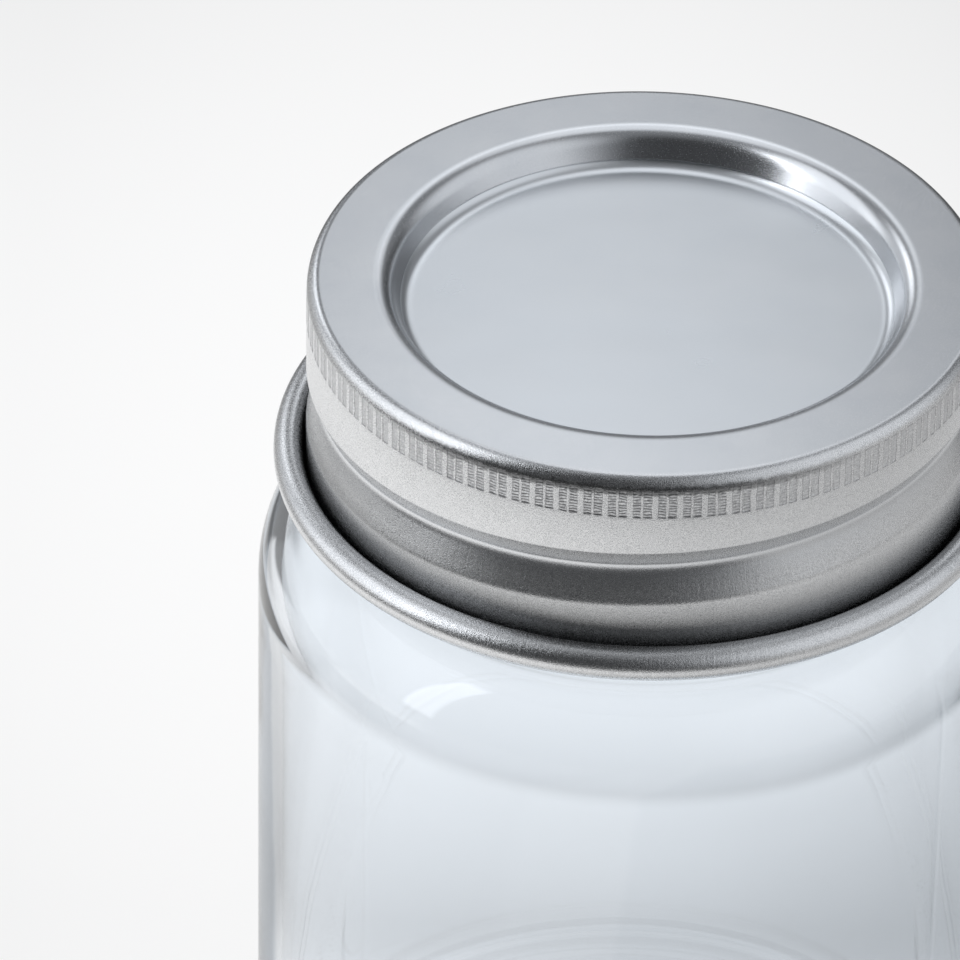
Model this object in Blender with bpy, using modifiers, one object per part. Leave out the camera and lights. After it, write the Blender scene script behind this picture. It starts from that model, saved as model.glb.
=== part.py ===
"""Glass jar with a two-piece screw lid: jar, screw band, lid disc and its sealing ring.

The jar stands on z = 0 with its axis on Z. The lid's levels are measured from the top of
the band's flange, downwards as negative numbers, and the lid hangs from an empty there.
"""

import math

import bmesh
import bpy

MM = 0.001

# Overall
JAR_HEIGHT = 127.0 * MM
FIT_GAP = 0.3 * MM
RING_STEPS = 48

# Sheet metal of the lid
SHEET = 0.25 * MM
DISC_CLEARANCE = 0.5 * MM
DISC_EDGE_RADIUS = 1.0 * MM
SEAL_THICKNESS = 0.7 * MM
SEAL_ROUNDING = 0.25 * MM
SEAL_INSET = 0.6 * MM
SEAL_OVERHANG = 0.5 * MM

# Screw band: flange and well
BAND_RADIUS = 36.0 * MM
CORNER_WIDTH = 1.4 * MM
CORNER_HEIGHT = 1.8 * MM
FLANGE_WIDTH = 7.1 * MM
WELL_ROUNDING = 2.3 * MM
WELL_REACH = 2.8 * MM
WELL_DEPTH = 2.8 * MM
PANEL_STEP = 1.0 * MM
PANEL_FILLET = 1.8 * MM

# Screw band: rolled thread and curl
THREAD_PITCH = 8.5 * MM
GROOVE_DEPTH = 1.1 * MM
GROOVE_UPPER = 2.6 * MM
GROOVE_LOWER = 4.4 * MM
CURL_BELOW_GROOVE = 1.77 * MM
CURL_OFFSET = 1.6 * MM
CURL_ROLL = 1.62 * MM
CURL_TUCK_WIDTH = 1.05 * MM

# Glass finish: mouth, thread and transfer bead
MOUTH_CLEARANCE = 1.25 * MM
LIP_RADIUS = 0.8 * MM
THREAD_CLEARANCE = 0.5 * MM
THREAD_HEIGHT = 1.6 * MM
THREAD_LAND = 0.3 * MM
THREAD_SEAT = 0.4 * MM
THREAD_CREST = 1.0 * MM
THREAD_FLANK = 1.2 * MM
BEAD_HALF_HEIGHT = 1.3 * MM
BEAD_FLANK = 0.8 * MM

# Glass body
NECK_BELOW_BAND = 3.15 * MM
NECK_FILLET = 1.6 * MM
INNER_FILLET = 2.0 * MM
SHOULDER_REACH = 5.1 * MM
SHOULDER_RADIUS = 11.8 * MM
BODY_WALL = 2.6 * MM
HEEL_RADIUS = 6.0 * MM
BEARING_WIDTH = 3.0 * MM
PUSH_UP = 2.2 * MM
BASE_THICKNESS = 4.4 * MM
FLOOR_RISE = 1.2 * MM
FLOOR_RADIUS = 7.0 * MM

# The thread runs one turn from a seam at the back, and runs out over this share at each end
SEAM_ANGLE = math.radians(90.0)
RUN_OUT_SHARE = 0.07
GROOVE_FOOT_SHARE = 0.2
GROOVE_LIP_SHARE = 0.12
GROOVE_ROWS_ABOVE_SHARES = (1.0, 0.82, 0.6, 0.35, 0.12)
GROOVE_ROWS_BELOW_SHARES = (0.12, 0.35, 0.6, 0.82, 1.0)
CURL_END_SHARE = 0.3
SHARP_ANGLE = math.radians(35.0)

# Radii that follow from the band
BAND_BORE = BAND_RADIUS - SHEET
WELL_RIM = BAND_RADIUS - FLANGE_WIDTH
DISC_RADIUS = BAND_BORE - DISC_CLEARANCE
THREAD_RADIUS = BAND_BORE - THREAD_CLEARANCE
NECK_RADIUS = THREAD_RADIUS - THREAD_HEIGHT
MOUTH_RADIUS = WELL_RIM + MOUTH_CLEARANCE
BODY_RADIUS = BAND_RADIUS + SHOULDER_REACH
CURL_RADIUS = BAND_RADIUS + CURL_OFFSET

# Levels below the top of the flange
DISC_LEVEL = -(SHEET + FIT_GAP)
SEAL_LEVEL = DISC_LEVEL - SHEET - FIT_GAP
RIM_LEVEL = SEAL_LEVEL - SEAL_THICKNESS - FIT_GAP
PANEL_LEVEL = -(WELL_DEPTH + PANEL_STEP)
THREAD_LOW_CREST = GROOVE_UPPER - THREAD_SEAT
THREAD_TOP = THREAD_LOW_CREST + THREAD_CREST + THREAD_FLANK
GROOVE_HIGHEST = RIM_LEVEL - LIP_RADIUS - THREAD_LAND - THREAD_TOP
GROOVE_LOWEST = GROOVE_HIGHEST - THREAD_PITCH
CURL_LEVEL = GROOVE_LOWEST - GROOVE_LOWER - CURL_BELOW_GROOVE
SHOULDER_TOP = CURL_LEVEL - CURL_ROLL - NECK_BELOW_BAND
SHOULDER_LEVEL = SHOULDER_TOP - SHOULDER_RADIUS


def arc(centre, half_width, half_height, start, end, steps):
    """Points (radius, level) along an elliptic arc, angles in degrees from outwards."""
    points = []
    for step in range(steps + 1):
        angle = math.radians(start + (end - start) * step / steps)
        radius = centre[0] + half_width * math.cos(angle)
        level = centre[1] + half_height * math.sin(angle)
        points.append((radius, level))
    return points


def groove_level(turn):
    """Level of the groove's deepest line after this share of a turn from the seam."""
    return GROOVE_LOWEST + THREAD_PITCH * turn


def row_level(turn):
    """Level that the mesh rows follow: the groove, and a quick way back across the seam."""
    if RUN_OUT_SHARE <= turn <= 1 - RUN_OUT_SHARE:
        return groove_level(turn)
    high = groove_level(1 - RUN_OUT_SHARE)
    low = groove_level(RUN_OUT_SHARE)
    past_high = turn + RUN_OUT_SHARE - (1 if turn > RUN_OUT_SHARE else 0)
    return high + (low - high) * past_high / (2 * RUN_OUT_SHARE)


def run_out(turn):
    """Share of the thread's full depth: it fades to nothing at the seam."""
    nearest_end = min(turn, 1 - turn)
    share = min(1.0, nearest_end / RUN_OUT_SHARE)
    return share * share * (3 - 2 * share)


def flank(share):
    """A flank from 1 at its deepest to 0 at its edge, straight between two rounded ends."""
    slope = 1 / (1 - (GROOVE_FOOT_SHARE + GROOVE_LIP_SHARE) / 2)
    if share < GROOVE_FOOT_SHARE:
        return 1 - slope * share * share / (2 * GROOVE_FOOT_SHARE)
    if share < 1 - GROOVE_LIP_SHARE:
        return 1 - slope * (share - GROOVE_FOOT_SHARE / 2)
    return slope * max(0.0, 1 - share) ** 2 / (2 * GROOVE_LIP_SHARE)


def groove_inset(level, turn):
    """How far the rolled groove pulls the band's skirt in at this level and turn."""
    height = level - groove_level(turn)
    span = GROOVE_UPPER if height > 0 else GROOVE_LOWER
    return GROOVE_DEPTH * run_out(turn) * flank(abs(height) / span)


def thread_outset(level, turn):
    """How far the glass thread stands out of the neck at this level and turn."""
    height = level - groove_level(turn) - THREAD_LOW_CREST
    if height < 0:
        share = 1 + height / THREAD_FLANK
    elif height > THREAD_CREST:
        share = 1 - (height - THREAD_CREST) / THREAD_FLANK
    else:
        share = 1
    return THREAD_HEIGHT * run_out(turn) * max(0.0, share)


def well_slope():
    """Angle of the well's cone above the horizontal, and the centre of its top rounding."""
    centre = (WELL_RIM, -WELL_ROUNDING)
    rise = WELL_DEPTH - WELL_ROUNDING
    reach = math.hypot(WELL_REACH, rise)
    angle = math.atan2(rise, WELL_REACH) + math.asin(WELL_ROUNDING / reach)
    return math.degrees(angle), centre


def band_section(turn):
    """The band's outer side: cut edge, well, flange, skirt with its groove, and the curl."""
    slope, well_centre = well_slope()
    points = [(WELL_RIM - WELL_REACH, -WELL_DEPTH)]
    points += arc(well_centre, WELL_ROUNDING, WELL_ROUNDING, slope + 90, 90, 4)
    corner = (BAND_RADIUS - CORNER_WIDTH, -CORNER_HEIGHT)
    points += arc(corner, CORNER_WIDTH, CORNER_HEIGHT, 90, 0, 4)
    points.append((BAND_RADIUS, GROOVE_HIGHEST + GROOVE_UPPER))
    centre = row_level(turn)
    levels = [centre + GROOVE_UPPER * share for share in GROOVE_ROWS_ABOVE_SHARES]
    levels += [centre - GROOVE_LOWER * share for share in GROOVE_ROWS_BELOW_SHARES]
    points += [(BAND_RADIUS - groove_inset(level, turn), level) for level in levels]
    points.append((BAND_RADIUS, GROOVE_LOWEST - GROOVE_LOWER))
    return points + curl_section()


def curl_section():
    """The rolled lower edge: out under the skirt, up, over and back down beside it."""
    centre = (CURL_RADIUS, CURL_LEVEL)
    points = arc(centre, CURL_OFFSET, CURL_ROLL, 180, 270, 4)
    points += arc(centre, CURL_ROLL, CURL_ROLL, 270, 450, 7)[1:]
    points += arc(centre, CURL_TUCK_WIDTH, CURL_ROLL, 450, 540, 3)[1:]
    tucked = (CURL_RADIUS - CURL_TUCK_WIDTH, CURL_LEVEL - CURL_ROLL * CURL_END_SHARE)
    return points + [tucked]


def disc_section():
    """The disc's top side: panel, fillet, cone and seat under the flange, edge turned down."""
    slope, well_centre = well_slope()
    angle = math.radians(slope)
    normal = (-math.sin(angle), math.cos(angle))
    rounding = WELL_ROUNDING - SHEET - FIT_GAP
    cone = (well_centre[0] + rounding * normal[0], well_centre[1] + rounding * normal[1])
    fillet_level = PANEL_LEVEL + PANEL_FILLET
    along = PANEL_FILLET - (fillet_level - cone[1]) * normal[1]
    fillet = (cone[0] + along / normal[0], fillet_level)
    points = [(0.0, PANEL_LEVEL)]
    points += arc(fillet, PANEL_FILLET, PANEL_FILLET, -90, slope - 90, 3)
    points += arc(well_centre, rounding, rounding, slope + 90, 90, 3)
    edge = (DISC_RADIUS - DISC_EDGE_RADIUS, DISC_LEVEL - DISC_EDGE_RADIUS)
    points += arc(edge, DISC_EDGE_RADIUS, DISC_EDGE_RADIUS, 90, 0, 3)
    return points


def seal_section():
    """The sealing ring's outline, with rounded corners, clockwise from its inner top."""
    inner = MOUTH_RADIUS + SEAL_INSET + SEAL_ROUNDING
    outer = NECK_RADIUS + SEAL_OVERHANG - SEAL_ROUNDING
    top = SEAL_LEVEL - SEAL_ROUNDING
    bottom = SEAL_LEVEL - SEAL_THICKNESS + SEAL_ROUNDING
    points = []
    corners = ((inner, top, 180), (outer, top, 90), (outer, bottom, 0), (inner, bottom, -90))
    for radius, level, start in corners:
        points += arc((radius, level), SEAL_ROUNDING, SEAL_ROUNDING, start, start - 90, 1)
    return points


def tangent_fillet(wall_radius, fillet_radius, arc_centre, arc_radius):
    """Centre of a fillet between an upright wall and a shoulder arc, and its angle there."""
    across = wall_radius + fillet_radius - arc_centre[0]
    rise = math.sqrt((arc_radius + fillet_radius) ** 2 - across ** 2)
    centre = (wall_radius + fillet_radius, arc_centre[1] + rise)
    return centre, math.degrees(math.atan2(rise, across))


def jar_inside():
    """Inner side of the glass from the middle of the floor up to the mouth."""
    inner_radius = BODY_RADIUS - BODY_WALL
    floor = BASE_THICKNESS - JAR_HEIGHT
    heel = (inner_radius - FLOOR_RADIUS, floor + FLOOR_RADIUS)
    rise = arc((0.0, floor), heel[0], FLOOR_RISE, 90, 0, 4)
    points = rise[:-1]
    points += arc(heel, FLOOR_RADIUS, FLOOR_RADIUS, -90, 0, 4)
    shoulder = (BODY_RADIUS - SHOULDER_RADIUS, SHOULDER_LEVEL)
    arc_radius = SHOULDER_RADIUS - BODY_WALL
    fillet, angle = tangent_fillet(MOUTH_RADIUS, INNER_FILLET, shoulder, arc_radius)
    points += arc(shoulder, arc_radius, arc_radius, 0, angle, 5)
    points += arc(fillet, INNER_FILLET, INNER_FILLET, angle + 180, 180, 3)[1:]
    return points


def jar_rim():
    """The rim: two rounded edges with a flat land between them, inside to outside."""
    level = RIM_LEVEL - LIP_RADIUS
    inner = (MOUTH_RADIUS + LIP_RADIUS, level)
    outer = (NECK_RADIUS - LIP_RADIUS, level)
    points = arc(inner, LIP_RADIUS, LIP_RADIUS, 180, 90, 2)
    points += arc(outer, LIP_RADIUS, LIP_RADIUS, 90, 0, 2)
    return points


def jar_thread(turn):
    """Outer side of the neck with its thread, from under the lip to the transfer bead."""
    centre = row_level(turn) + THREAD_LOW_CREST
    heights = (THREAD_CREST + THREAD_FLANK, THREAD_CREST, 0.0, -THREAD_FLANK)
    levels = [centre + height for height in heights]
    return [(NECK_RADIUS + thread_outset(level, turn), level) for level in levels]


def jar_outside():
    """Outer side of the glass from the transfer bead down to the middle of the base."""
    points = [(NECK_RADIUS, CURL_LEVEL + BEAD_HALF_HEIGHT + BEAD_FLANK)]
    points.append((THREAD_RADIUS, CURL_LEVEL + BEAD_HALF_HEIGHT))
    points.append((THREAD_RADIUS, CURL_LEVEL - BEAD_HALF_HEIGHT))
    points.append((NECK_RADIUS, CURL_LEVEL - BEAD_HALF_HEIGHT - BEAD_FLANK))
    shoulder = (BODY_RADIUS - SHOULDER_RADIUS, SHOULDER_LEVEL)
    fillet, angle = tangent_fillet(NECK_RADIUS, NECK_FILLET, shoulder, SHOULDER_RADIUS)
    points += arc(fillet, NECK_FILLET, NECK_FILLET, 180, angle + 180, 3)
    points += arc(shoulder, SHOULDER_RADIUS, SHOULDER_RADIUS, angle, 0, 6)[1:]
    heel = (BODY_RADIUS - HEEL_RADIUS, HEEL_RADIUS - JAR_HEIGHT)
    points += arc(heel, HEEL_RADIUS, HEEL_RADIUS, 0, -90, 5)
    bearing = BODY_RADIUS - HEEL_RADIUS - BEARING_WIDTH
    points += arc((0.0, -JAR_HEIGHT), bearing, PUSH_UP, 0, 90, 5)
    return points


def jar_section(turn):
    """The glass from the middle of its floor, over the rim and down to its base."""
    return jar_inside() + jar_rim() + jar_thread(turn) + jar_outside()


def loft_round(section_at, height):
    """Faces between sections that change round the axis, such as those along a thread."""
    shape = bmesh.new()
    rings = []
    for step in range(RING_STEPS):
        turn = step / RING_STEPS
        angle = SEAM_ANGLE + math.tau * turn
        ring = []
        for radius, level in section_at(turn):
            place = (radius * math.cos(angle), radius * math.sin(angle), level + height)
            ring.append(shape.verts.new(place))
        rings.append(ring)
    for ring, following in zip(rings, rings[1:] + rings[:1]):
        for row in range(len(ring) - 1):
            corners = (ring[row], ring[row + 1], following[row + 1], following[row])
            shape.faces.new(corners)
    return shape


def finish_shape(name, shape):
    """Joins points that coincide on the axis and makes a smooth-shaded mesh."""
    bmesh.ops.remove_doubles(shape, verts=shape.verts, dist=FIT_GAP / RING_STEPS)
    mesh = bpy.data.meshes.new(name)
    shape.to_mesh(mesh)
    shape.free()
    mesh.shade_smooth()
    mesh.set_sharp_from_angle(angle=SHARP_ANGLE)
    return mesh


def outline_mesh(name, points, closed):
    """A profile of edges in the XZ plane, ready for a Screw modifier."""
    shape = bmesh.new()
    corners = [shape.verts.new((radius, 0.0, level)) for radius, level in points]
    following = corners[1:] + (corners[:1] if closed else [])
    for start, end in zip(corners, following):
        shape.edges.new((start, end))
    mesh = bpy.data.meshes.new(name)
    shape.to_mesh(mesh)
    shape.free()
    return mesh


def add_screw(piece):
    """Turns a profile once round Z."""
    screw = piece.modifiers.new("turned", "SCREW")
    screw.axis = "Z"
    screw.steps = RING_STEPS
    screw.render_steps = RING_STEPS
    screw.use_merge_vertices = True
    screw.merge_threshold = FIT_GAP / RING_STEPS
    screw.use_smooth_shade = True


def add_sheet_thickness(piece):
    """Gives a surface the thickness of the sheet, on its inner side."""
    solidify = piece.modifiers.new("sheet", "SOLIDIFY")
    solidify.thickness = SHEET
    solidify.offset = -1.0
    solidify.use_even_offset = True


def make_material(name, colour, roughness, metallic, transmission=0.0):
    material = bpy.data.materials.new(name)
    material.use_nodes = True
    shader = material.node_tree.nodes["Principled BSDF"]
    shader.inputs["Base Color"].default_value = (*colour, 1.0)
    shader.inputs["Roughness"].default_value = roughness
    shader.inputs["Metallic"].default_value = metallic
    shader.inputs["Transmission Weight"].default_value = transmission
    return material


def add_piece(name, mesh, material, collection, parent=None):
    piece = bpy.data.objects.new(name, mesh)
    mesh.materials.append(material)
    collection.objects.link(piece)
    piece.parent = parent
    return piece


def add_axis(name, height, collection, parent=None):
    """An empty on the jar's axis that lid pieces hang from."""
    axis = bpy.data.objects.new(name, None)
    axis.empty_display_size = BAND_RADIUS
    axis.location.z = height
    axis.parent = parent
    collection.objects.link(axis)
    return axis


def build():
    for old in list(bpy.data.objects):
        bpy.data.objects.remove(old, do_unlink=True)
    collection = bpy.data.collections.new("glass_jar_with_screw_lid")
    bpy.context.scene.collection.children.link(collection)

    glass = make_material("glass", (0.86, 0.92, 0.95), 0.02, 0.0, 1.0)
    tinplate = make_material("tinplate", (0.62, 0.63, 0.65), 0.28, 1.0)
    disc_tinplate = make_material("disc_tinplate", (0.66, 0.68, 0.71), 0.3, 1.0)
    compound = make_material("compound", (0.78, 0.74, 0.66), 0.6, 0.0)

    lift = add_axis("lid_lift_axis", JAR_HEIGHT, collection)
    turn = add_axis("band_turn_axis", 0.0, collection, lift)

    jar_mesh = finish_shape("glass_jar", loft_round(jar_section, JAR_HEIGHT))
    add_piece("glass_jar", jar_mesh, glass, collection)

    band_mesh = finish_shape("screw_band", loft_round(band_section, 0.0))
    band = add_piece("screw_band", band_mesh, tinplate, collection, turn)
    add_sheet_thickness(band)

    disc_mesh = outline_mesh("lid_disc", disc_section(), closed=False)
    disc = add_piece("lid_disc", disc_mesh, disc_tinplate, collection, lift)
    add_screw(disc)
    add_sheet_thickness(disc)

    seal_mesh = outline_mesh("seal_ring", seal_section(), closed=True)
    seal = add_piece("seal_ring", seal_mesh, compound, collection, lift)
    add_screw(seal)


build()
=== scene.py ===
"""Looks of a glass jar with a screw band and a loose disc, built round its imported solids."""
import math

import bpy
import numpy as np
from mathutils import Matrix, Vector


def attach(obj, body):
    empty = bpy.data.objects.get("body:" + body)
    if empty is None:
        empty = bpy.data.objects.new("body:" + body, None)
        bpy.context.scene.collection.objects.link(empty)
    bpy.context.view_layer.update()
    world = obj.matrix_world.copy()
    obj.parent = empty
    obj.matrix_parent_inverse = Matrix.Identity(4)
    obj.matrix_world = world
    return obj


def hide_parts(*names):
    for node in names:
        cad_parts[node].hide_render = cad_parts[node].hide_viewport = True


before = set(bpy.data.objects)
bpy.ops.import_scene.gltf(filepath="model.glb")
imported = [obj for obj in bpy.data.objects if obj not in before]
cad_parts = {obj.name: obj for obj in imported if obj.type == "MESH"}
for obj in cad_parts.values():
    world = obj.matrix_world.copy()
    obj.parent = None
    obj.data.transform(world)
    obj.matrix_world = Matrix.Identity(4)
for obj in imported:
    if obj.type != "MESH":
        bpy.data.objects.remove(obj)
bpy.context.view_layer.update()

MM = 0.001

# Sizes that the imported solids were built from
JAR_HEIGHT = 127.0 * MM
FIT_GAP = 0.3 * MM
SHEET = 0.25 * MM
DISC_CLEARANCE = 0.5 * MM
DISC_EDGE_RADIUS = 1.0 * MM
SEAL_THICKNESS = 0.7 * MM
SEAL_ROUNDING = 0.25 * MM
SEAL_INSET = 0.6 * MM
SEAL_OVERHANG = 0.5 * MM
BAND_RADIUS = 36.0 * MM
CORNER_WIDTH = 1.4 * MM
CORNER_HEIGHT = 1.8 * MM
FLANGE_WIDTH = 7.1 * MM
WELL_ROUNDING = 2.3 * MM
WELL_REACH = 2.8 * MM
WELL_DEPTH = 2.8 * MM
PANEL_STEP = 1.0 * MM
PANEL_FILLET = 1.8 * MM
THREAD_PITCH = 8.5 * MM
GROOVE_DEPTH = 1.1 * MM
GROOVE_UPPER = 2.6 * MM
GROOVE_LOWER = 4.4 * MM
CURL_BELOW_GROOVE = 1.77 * MM
CURL_OFFSET = 1.6 * MM
CURL_ROLL = 1.62 * MM
CURL_TUCK_WIDTH = 1.05 * MM
MOUTH_CLEARANCE = 1.25 * MM
LIP_RADIUS = 0.8 * MM
THREAD_CLEARANCE = 0.5 * MM
THREAD_HEIGHT = 1.6 * MM
THREAD_LAND = 0.3 * MM
THREAD_SEAT = 0.4 * MM
THREAD_CREST = 1.0 * MM
THREAD_FLANK = 1.2 * MM
BEAD_HALF_HEIGHT = 1.3 * MM
BEAD_FLANK = 0.8 * MM
NECK_BELOW_BAND = 3.15 * MM
NECK_FILLET = 1.6 * MM
INNER_FILLET = 2.0 * MM
SHOULDER_REACH = 5.1 * MM
SHOULDER_RADIUS = 11.8 * MM
BODY_WALL = 2.6 * MM
HEEL_RADIUS = 6.0 * MM
BEARING_WIDTH = 3.0 * MM
PUSH_UP = 2.2 * MM
BASE_THICKNESS = 4.4 * MM
FLOOR_RISE = 1.2 * MM
FLOOR_RADIUS = 7.0 * MM
SEAM_ANGLE = math.radians(90.0)
RUN_OUT_SHARE = 0.07
GROOVE_FOOT_SHARE = 0.2
GROOVE_LIP_SHARE = 0.12
CURL_END_SHARE = 0.3

# Fine detail of the looks' meshes
SEAT_GAP = 0.06 * MM
MOULD_SEAM_ANGLE = math.radians(-39.0)
MOULD_SEAM_RISE = 0.02 * MM
MOULD_SEAM_STEPS = (-0.9, -0.5, -0.2, 0.0, 0.2, 0.5, 0.9)
SHARP_ANGLE = math.radians(40.0)
ROUND_STEPS = 256
SEAL_STEPS = 192
POLE_RADIUS = 1e-7

# The knurl: pairs of marks round the band, each with a strong and a weak one. The halves and
# the centre are shares of a pair, and the levels are measured from the flange.
KNURL_PAIRS = 88
STEPS_PER_PAIR = 18
FINE_STEPS = KNURL_PAIRS * STEPS_PER_PAIR
COARSE_STEPS = KNURL_PAIRS * 3
KNURL_DEPTH = 0.05 * MM
KNURL_TOP = -1.45 * MM
KNURL_BOTTOM = -4.85 * MM
KNURL_PHASE = math.radians(-94.23)
# The band's front: the knurl's striations are worn there, and the painted dark reflection below
# the corner lies there
FRONT_AZIMUTH = math.radians(-97.0)
STRONG_HALF = 0.159
WEAK_HALF = 0.147
WEAK_CENTRE = 0.572
WEAK_SHARE = 0.75
KNURL_END_RAMP = 0.12 * MM

# Rows of the sections: shares along a straight, and distances at the knurl's two ends
WELL_SHARES = (0.05, 0.3, 0.6, 0.85)
FLANGE_SHARES = (0.04, 0.2, 0.4, 0.6, 0.8, 0.96)
PANEL_SHARES = (0.0, 0.25, 0.5, 0.75, 0.94, 0.99)
CORNER_ABOVE_KNURL = 0.1 * MM
KNURL_END_ROWS = MM * np.array([0.04, -0.06, -0.14])
KNURL_INNER_ROWS = 0.4 * MM
GROOVE_MARGIN = 0.05 * MM

# Texture of the knurl: the uneven edge of its marks, and the striations down them
KNURL_EDGE_SCALE, KNURL_EDGE_BLUR = 900.0, 0.02
KNURL_END_BLUR = 0.08 * MM
KNURL_LINE_SCALE, KNURL_LINE_SHARES = 1100.0, (0.25, 0.8)
KNURL_LINE_TINT = (0.2, 0.2, 0.21)
KNURL_ROUGHNESS = 0.08
STRIATION_PITCH = 0.36 * MM
STRIATION_BEND_SCALE, STRIATION_BEND = 1500.0, 8.0
STRIATION_BREAK_SCALE, STRIATION_BREAK = 2600.0, 1.2
STRIATION_CUT, STRIATION_SHARE = (-0.8, 1.0), 0.75
STRIATION_TINT = (0.34, 0.34, 0.35)
STRIATION_HEIGHT = 0.012 * MM
WORN_FRONT, WORN_LEAST = (0.75, 1.0), 0.3

# The tin of the band: cloudy on the flange, and speckled and grainy where it was drawn
BAND_ROUGHNESS = (0.23, 0.26)
DRAWN_RADII = (34.4 * MM, 35.6 * MM)
FLANGE_CLOUD_SCALE, FLANGE_TINTS = 150.0, ((0.605, 0.62, 0.64), (0.645, 0.655, 0.67))
GRAIN_SCALE, GRAIN_RANGE, GRAIN_ROUGHNESS = 8000.0, (0.3, 0.7), 0.05
GRAIN_HEIGHTS = (0.004 * MM, 0.026 * MM)
SPECK_REACH, SPECK_SHARE = 0.12, 0.85
SPECK_TINTS = ((0.46, 0.465, 0.47), (0.84, 0.84, 0.84))
BLOTCH_SCALE, BLOTCH_SHARE, BLOTCH_TINT = 700.0, 0.4, (0.70, 0.70, 0.705)

# Streaks of drawing below the knurl
STREAK_SCALE, STREAK_HEIGHT = 2600.0, 0.016 * MM
STREAK_STRETCH, STREAK_FADE = 0.12, 0.3 * MM

# Painted shade low on the skirt, and a painted dark reflection along a ragged line below the front
# corner
SKIRT_RADII = (36.1 * MM, 36.7 * MM)
TROUGH_SHADE_LEVELS, TROUGH_SHADE_SHARE = (-18.6 * MM, -15.8 * MM), 0.45
LINE_LEVEL, LINE_HALVES = -1.5 * MM, (0.3 * MM, 0.62 * MM)
LINE_SCALE, LINE_RAGGED = 1300.0, 0.9 * MM
LINE_SHARE, LINE_FRONT = 0.62, (0.7, 0.95)

# The disc's panel
PANEL_CLOUD_SCALE, PANEL_TINTS = 90.0, ((0.68, 0.705, 0.73), (0.715, 0.735, 0.755))
PANEL_ROUGHNESS = (0.27, 0.31)
PANEL_GRAIN_SCALE, PANEL_GRAIN_HEIGHT = 5200.0, 0.006 * MM
PANEL_WAVE_SCALE, PANEL_WAVE_HEIGHT = 45.0, 0.1 * MM

# The glass: its slow waves, and the stippling, which fades between two levels above the base
GLASS_TINT, GLASS_SHADOW_TINT = (0.925, 0.955, 0.985, 1.0), (0.88, 0.92, 0.94, 1.0)
GLASS_IOR = 1.5
GLASS_WAVE_SCALE, GLASS_WAVE_HEIGHT = 40.0, 0.08 * MM
STIPPLE_SCALE, STIPPLE_WIDTH, STIPPLE_HEIGHT = 900.0, 0.45, 0.12 * MM
STIPPLE_LEVELS = (0.6 * MM, 1.2 * MM)

# The sealing compound
SEAL_BLOTCH_SCALE, SEAL_TINTS = 400.0, ((0.72, 0.68, 0.60), (0.82, 0.78, 0.70))
SEAL_ROUGHNESS = 0.6
SEAL_PORE_SCALE, SEAL_PORE_HEIGHT = 1800.0, 0.02 * MM

# Radii and levels that follow
BAND_BORE = BAND_RADIUS - SHEET
WELL_RIM = BAND_RADIUS - FLANGE_WIDTH
DISC_RADIUS = BAND_BORE - DISC_CLEARANCE
THREAD_RADIUS = BAND_BORE - THREAD_CLEARANCE
NECK_RADIUS = THREAD_RADIUS - THREAD_HEIGHT
MOUTH_RADIUS = WELL_RIM + MOUTH_CLEARANCE
BODY_RADIUS = BAND_RADIUS + SHOULDER_REACH
CURL_RADIUS = BAND_RADIUS + CURL_OFFSET
RIM_LEVEL = -(2 * SHEET + 3 * FIT_GAP + SEAL_THICKNESS)
DISC_LEVEL = -(SHEET + SEAT_GAP)
SEAL_LEVEL = DISC_LEVEL - SHEET - SEAT_GAP
PANEL_LEVEL = -(WELL_DEPTH + PANEL_STEP)
THREAD_LOW_CREST = GROOVE_UPPER - THREAD_SEAT
THREAD_TOP = THREAD_LOW_CREST + THREAD_CREST + THREAD_FLANK
GROOVE_HIGHEST = RIM_LEVEL - LIP_RADIUS - THREAD_LAND - THREAD_TOP
GROOVE_LOWEST = GROOVE_HIGHEST - THREAD_PITCH
CURL_LEVEL = GROOVE_LOWEST - GROOVE_LOWER - CURL_BELOW_GROOVE
SHOULDER_TOP = CURL_LEVEL - CURL_ROLL - NECK_BELOW_BAND
SHOULDER_LEVEL = SHOULDER_TOP - SHOULDER_RADIUS


# Sections

def arc(centre, half_width, half_height, start, end, steps):
    """Points (radius, level) along an elliptic arc, angles in degrees from outwards."""
    angles = np.radians(np.linspace(start, end, steps + 1))
    radii = centre[0] + half_width * np.cos(angles)
    levels = centre[1] + half_height * np.sin(angles)
    return list(zip(radii, levels))


def groove_level(turn):
    return GROOVE_LOWEST + THREAD_PITCH * turn


def row_level(turn):
    """Level that the mesh rows follow: the groove, and a quick way back across the seam."""
    if RUN_OUT_SHARE <= turn <= 1 - RUN_OUT_SHARE:
        return groove_level(turn)
    high = groove_level(1 - RUN_OUT_SHARE)
    low = groove_level(RUN_OUT_SHARE)
    past_high = turn + RUN_OUT_SHARE - (1 if turn > RUN_OUT_SHARE else 0)
    return high + (low - high) * past_high / (2 * RUN_OUT_SHARE)


def smooth(share):
    return share * share * (3 - 2 * share)


def run_out(turn):
    """1 along the groove and the thread, falling to 0 where they run out at the seam."""
    return smooth(min(1.0, min(turn, 1 - turn) / RUN_OUT_SHARE))


def flank(share):
    """A flank from 1 at its deepest to 0 at its edge, straight between two rounded ends."""
    slope = 1 / (1 - (GROOVE_FOOT_SHARE + GROOVE_LIP_SHARE) / 2)
    if share < GROOVE_FOOT_SHARE:
        return 1 - slope * share * share / (2 * GROOVE_FOOT_SHARE)
    if share < 1 - GROOVE_LIP_SHARE:
        return 1 - slope * (share - GROOVE_FOOT_SHARE / 2)
    return slope * max(0.0, 1 - share) ** 2 / (2 * GROOVE_LIP_SHARE)


def groove_inset(level, turn):
    height = level - groove_level(turn)
    span = GROOVE_UPPER if height > 0 else GROOVE_LOWER
    return GROOVE_DEPTH * run_out(turn) * flank(abs(height) / span)


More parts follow.
